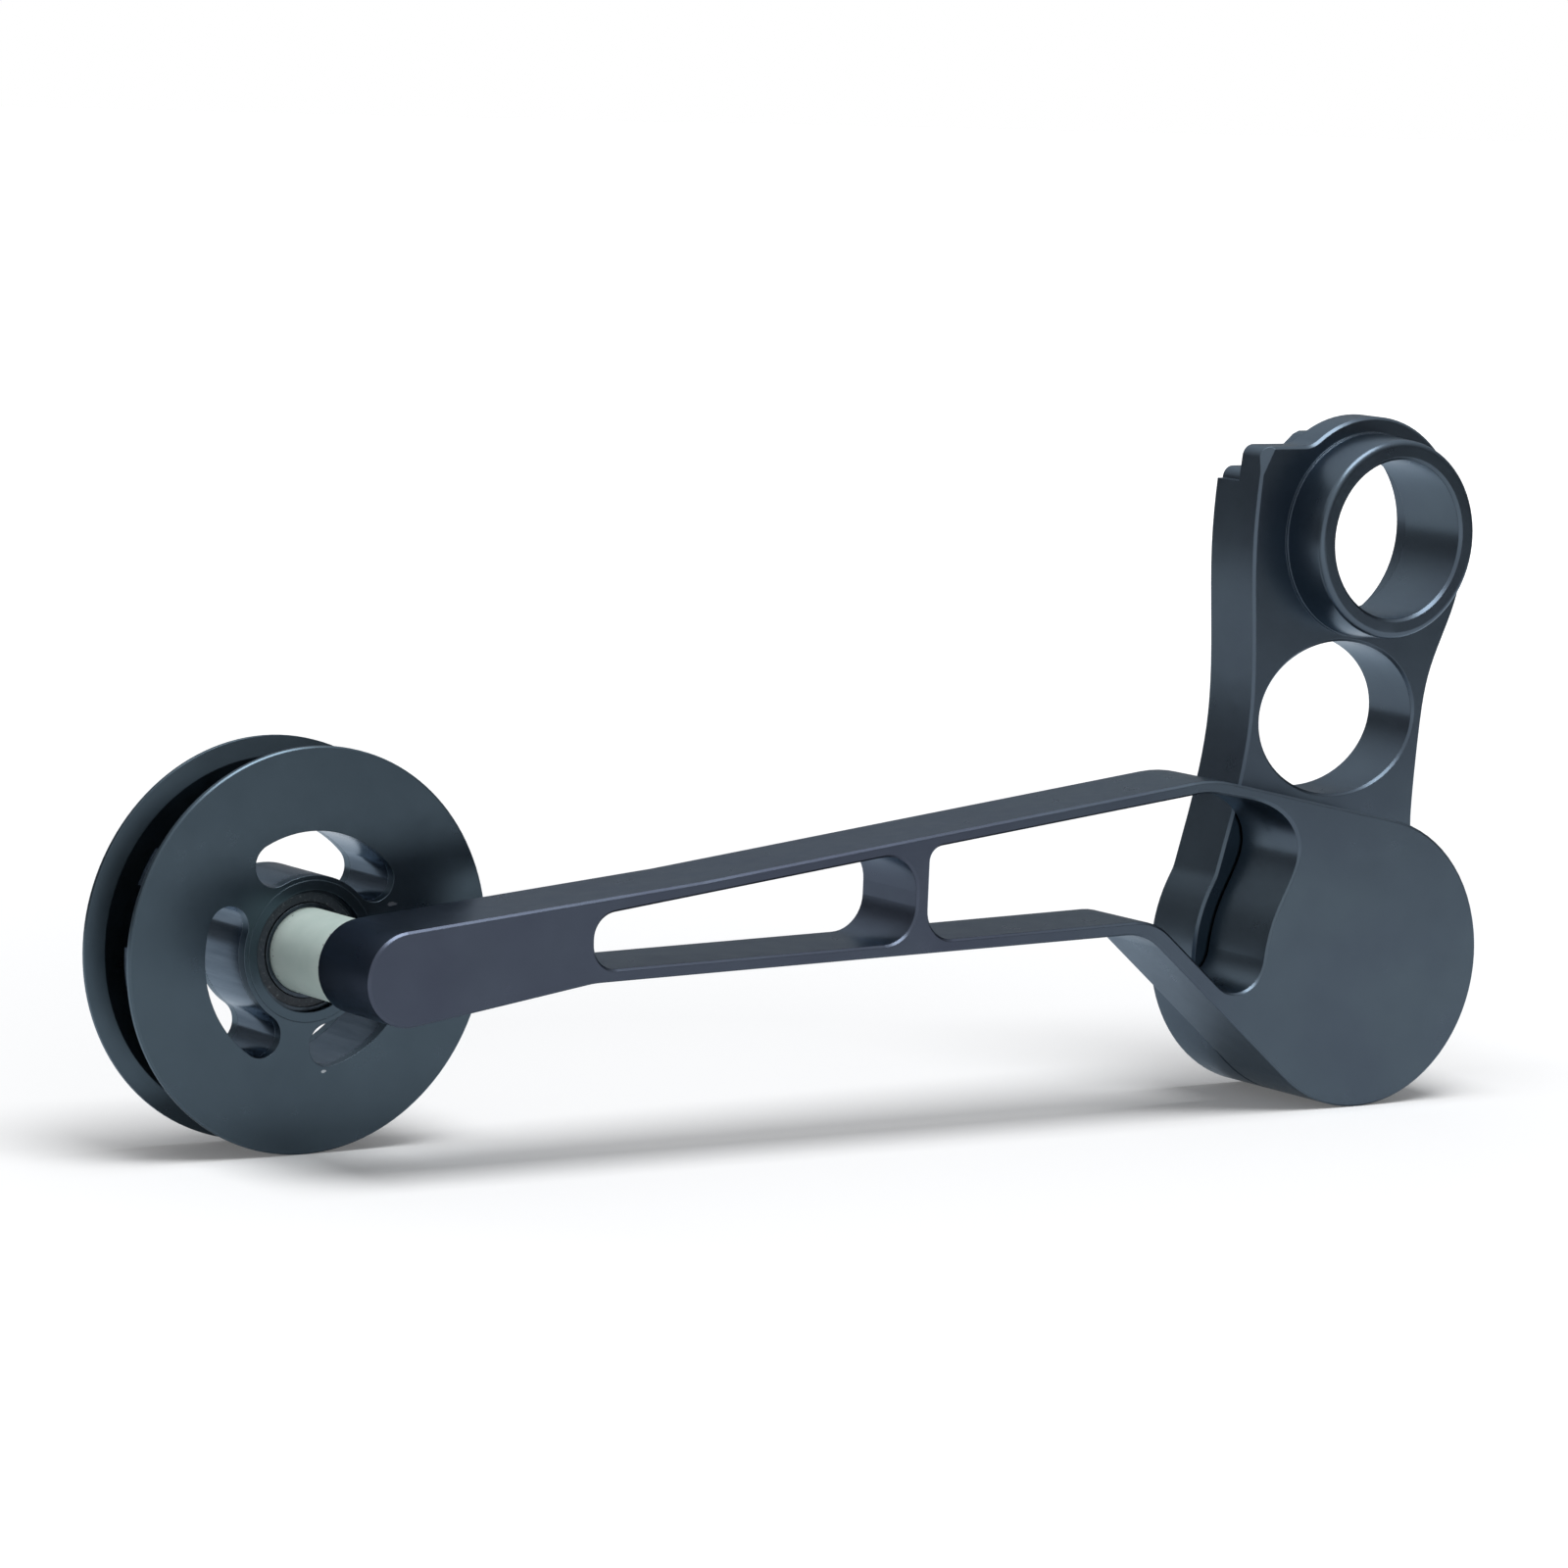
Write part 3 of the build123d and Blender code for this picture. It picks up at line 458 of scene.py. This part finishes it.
# %% Cut walls of the hub
cut_roughness = 0.20
streak_dark, streak_pale = (0.052, 0.070, 0.094), (0.084, 0.108, 0.138)
streak_length = 12.5                     # a streak is this many times as long as wide
hub_finish = anodised("anodised_hub", deep=(0.058, 0.082, 0.104), pale=(0.066, 0.093, 0.116))
direction = hub_finish.node("ShaderNodeTexCoord").outputs["Normal"]
along_axle = hub_finish.number("ABSOLUTE", hub_finish.axis(direction, "Y"))
walls = hub_finish.spread(along_axle, 0.3, 0.7, 1.0, 0.0)
drawn_place = hub_finish.vector("MULTIPLY", hub_finish.place, (1, 1 / streak_length, 1))
streaks = hub_finish.noise(1.1, detail=4.0, rough=0.6, place=drawn_place)
cut_colour = hub_finish.blend(hub_finish.spread(streaks, 0.35, 0.65), streak_dark, streak_pale)
hub_finish.give("Base Color", hub_finish.blend(walls, hub_finish.colour, cut_colour))
hub_finish.give("Roughness", hub_finish.spread(walls, 0.0, 1.0, satin, cut_roughness))
raise_grain(hub_finish, hub_finish.number("MULTIPLY", streaks, walls), radius=0.12)
print("hub finish has", len(hub_finish.tree.nodes), "nodes")

# %% [markdown]
# ## Steel, bronze and wire
# The screws, their washers and the stop pin are blackened steel, the pivot pin and the bearings are ground
# or dark steel, the spring is oiled wire and the bushes are plain bronze. They are small and mostly hidden,
# and one grey would do from afar. But the part may be looked at piece by piece, so each gets its own
# colour, darker stains, a fine grain that changes its gloss, and brighter edges.

# %% Small metal finishes
edge_gain, edge_lift = 1.9, 0.06         # how much brighter an edge is than its metal
edge_cover = 0.6
small_radius = 0.12


def small_metal(name, colour, stain, roughness, grain_size, depth=0.003):
    """Metal with a fine grain, darker stains and brighter edges."""
    finish = Finish(name, colour, 1.0, roughness)
    stains = finish.spread(finish.noise(2.2, detail=4.0, rough=0.6), 0.42, 0.68)
    bright = tuple(min(1.0, part * edge_gain + edge_lift) for part in colour)
    rubbed = finish.number("MULTIPLY", finish.edges(small_radius), edge_cover)
    grain = finish.noise(grain_size, detail=3.0, rough=0.65)
    finish.give("Base Color", finish.blend(rubbed, finish.blend(stains, colour, stain), bright))
    finish.give("Roughness", finish.spread(grain, 0.3, 0.7, roughness - 0.06, roughness + 0.08))
    finish.bump(grain, depth, strength=0.4, radius=small_radius)
    return finish.material


black_steel = small_metal("blackened_steel", (0.105, 0.108, 0.115), (0.055, 0.055, 0.058), 0.36, 0.3)
race_steel = small_metal("dark_race_steel", (0.060, 0.076, 0.094), (0.036, 0.046, 0.058), 0.34, 0.25)
oiled_wire = small_metal("oiled_wire", (0.30, 0.30, 0.31), (0.16, 0.15, 0.14), 0.28, 0.2)
ground_steel = small_metal("ground_steel", (0.58, 0.59, 0.60), (0.42, 0.42, 0.42), 0.20, 0.12, 0.0015)
bush_bronze = small_metal("bush_bronze", (0.52, 0.35, 0.18), (0.33, 0.20, 0.10), 0.38, 0.35)
small_metals = (black_steel, race_steel, oiled_wire, ground_steel, bush_bronze)
print("small metals", [metal.name for metal in small_metals])

# %% [markdown]
# ## The pale sleeve
# The wheel floats on a pale grey-green tube of hard plastic. It is smooth but not polished, and a little
# light passes into it, which plain paint wouldn't show, so the shader gets some subsurface. It has also
# picked up a few dark flecks of grease beside the bearing and the arm.

# %% Sleeve finish
sleeve_green = (0.60, 0.71, 0.67)
sleeve_shade = (0.52, 0.64, 0.60)
grease = (0.05, 0.06, 0.06)
arm_soil = 2.6 * mm                      # how far the grease reaches from the arm, and from the wheel
wheel_soil = 2.5 * mm
clean_limit = 0.74                       # noise above this makes a fleck where the sleeve is clean
soil_drop = 0.17                         # the limit is this much lower where it is soiled
sleeve_finish = Finish("sleeve_plastic", sleeve_green, 0.0, 0.34)
along_sleeve = sleeve_finish.axis(sleeve_finish.place, "Y")
collar_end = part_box("axle_sleeve")[0].y
near_arm = sleeve_finish.spread(along_sleeve, collar_end, collar_end + arm_soil, 1.0, 0.0)
near_wheel = sleeve_finish.spread(along_sleeve, axle.y - wheel_soil, axle.y, 0.0, 0.8)
soiled = sleeve_finish.number("MAXIMUM", near_arm, near_wheel)
soiling = sleeve_finish.number("MULTIPLY", soiled, soil_drop)
fleck_limit = sleeve_finish.number("SUBTRACT", clean_limit, soiling)
specks = sleeve_finish.noise(0.5, detail=3.0, rough=0.6)
above_limit = sleeve_finish.number("SUBTRACT", specks, fleck_limit)
flecks = sleeve_finish.spread(above_limit, 0.0, 0.05, 0.0, 0.85)
mottled = sleeve_finish.spread(sleeve_finish.noise(4, detail=3.0), 0.35, 0.7)
plastic = sleeve_finish.blend(mottled, sleeve_green, sleeve_shade)
sleeve_finish.give("Base Color", sleeve_finish.blend(flecks, plastic, grease))
sleeve_gloss = sleeve_finish.noise(1.2, detail=3.0)
sleeve_finish.give("Roughness", sleeve_finish.spread(sleeve_gloss, 0.3, 0.7, 0.28, 0.40))
sleeve_finish.give("Subsurface Weight", 0.12)
sleeve_finish.give("Subsurface Scale", 1.5 * mm)
sleeve_finish.give("Subsurface Radius", (1.0, 1.1, 1.0))
sleeve_finish.bump(sleeve_finish.noise(0.6), depth=0.004, strength=0.3, radius=0.15)
print("sleeve finish has", len(sleeve_finish.tree.nodes), "nodes")

# %% [markdown]
# ## Rubber seals and bearing cages
# The seal's face is matt black rubber with grey dust rubbed into it, and the cages are moulded in dark grey
# plastic. Both are dark and dull, so the difference has to come from the surface: the rubber is dusty and
# rough, and the plastic is smooth with faint clouds from the moulding.

# %% Rubber and cage finishes
rubber_black, rubber_dust = (0.018, 0.027, 0.038), (0.17, 0.19, 0.21)
seal_rubber = Finish("seal_rubber", rubber_black, 0.0, 0.5)
dust = seal_rubber.spread(seal_rubber.noise(0.45, detail=4.0, rough=0.7), 0.56, 0.68, 0.0, 0.7)
seal_rubber.give("Base Color", seal_rubber.blend(dust, rubber_black, rubber_dust))
seal_gloss = seal_rubber.noise(1.0, detail=3.0)
seal_rubber.give("Roughness", seal_rubber.spread(seal_gloss, 0.3, 0.7, 0.45, 0.62))
seal_grain = seal_rubber.noise(0.3, detail=3.0, rough=0.6)
seal_rubber.bump(seal_grain, depth=0.01, strength=0.5, radius=small_radius)

cage_dark, cage_pale = (0.06, 0.06, 0.068), (0.09, 0.09, 0.10)
cage_plastic = Finish("cage_plastic", cage_dark, 0.0, 0.45)
moulding = cage_plastic.noise(0.8, detail=3.0)
cage_plastic.give("Base Color", cage_plastic.blend(moulding, cage_dark, cage_pale))
cage_plastic.give("Roughness", cage_plastic.spread(moulding, 0.3, 0.7, 0.38, 0.52))
cage_plastic.bump(cage_plastic.noise(0.2), depth=0.004, strength=0.4, radius=0.1)
print("made", seal_rubber.material.name, "and", cage_plastic.material.name)

# %% [markdown]
# ## Dress the solids
# The solids keep their shapes. Each gets the finish of its real piece in place of the plain colour that it
# came with. The finish could replace the material in the mesh, but the object's own slots leave the mesh
# untouched.

# %% Give each solid its finish
finish_of = {
    "mounting_bracket": milled.material,
    "swing_arm": arm_finish.material,
    "toothed_hub": hub_finish.material,
    "front_flange": turned.material,
    "rear_flange": turned.material,
    "stop_pin": black_steel,
    "pivot_pin": ground_steel,
    "pivot_washer": black_steel,
    "pivot_screw": black_steel,
    "pivot_bush_front": bush_bronze,
    "pivot_bush_rear": bush_bronze,
    "thrust_washer": bush_bronze,
    "torsion_spring": oiled_wire,
    "axle_sleeve": sleeve_finish.material,
    "axle_washer": black_steel,
    "axle_bolt": black_steel,
    "bearing_outer_races": race_steel,
    "bearing_inner_races": race_steel,
    "bearing_spacer": ground_steel,
    "bearing_needles": ground_steel,
    "bearing_cages": cage_plastic.material,
    "bearing_seals": seal_rubber.material,
}
for name, material in finish_of.items():
    for slot in solids[name].material_slots:
        slot.link = "OBJECT"
        slot.material = material
undressed = sorted(set(solids) - set(finish_of))
print("dressed", len(finish_of), "solids, left out", undressed)

# %% [markdown]
# ## Even shading over the seams
# A round wall comes as one patch that is wrapped round and closed at a seam, where the shading jumps. On
# the bracket the seams lie in full view, inside the bore and the oval. Plain smooth shading would also blur
# the real corners, so three modifiers do it and leave the shape as it is: the patches are joined, real
# corners are kept apart by their angle, and the shading follows the larger faces and wider angles.

# %% Join the seams
seam_gap = 0.001 * mm
hard_edge = math.radians(32)
bracket = solids["mounting_bracket"]
joined = bracket.modifiers.new("join_seams", "WELD")
joined.merge_threshold = seam_gap
split = bracket.modifiers.new("keep_corners", "EDGE_SPLIT")
split.split_angle = hard_edge
split.use_edge_sharp = False
evened = bracket.modifiers.new("even_shading", "WEIGHTED_NORMAL")
evened.mode = "FACE_AREA_WITH_ANGLE"
print("seams joined on", [name for name in solids if solids[name].modifiers])

# %% [markdown]
# ## Measure the growth
# The picture model must not outgrow the part, so its box is measured again and its growth over the solids'
# box is printed.

# %% Measure how far the picture grew
shown_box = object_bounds()
growth = [new - old for solid, shown in zip(solid_box, shown_box) for old, new in zip(solid, shown)]
print("grown by", [round(step / mm, 2) for step in growth], "mm")
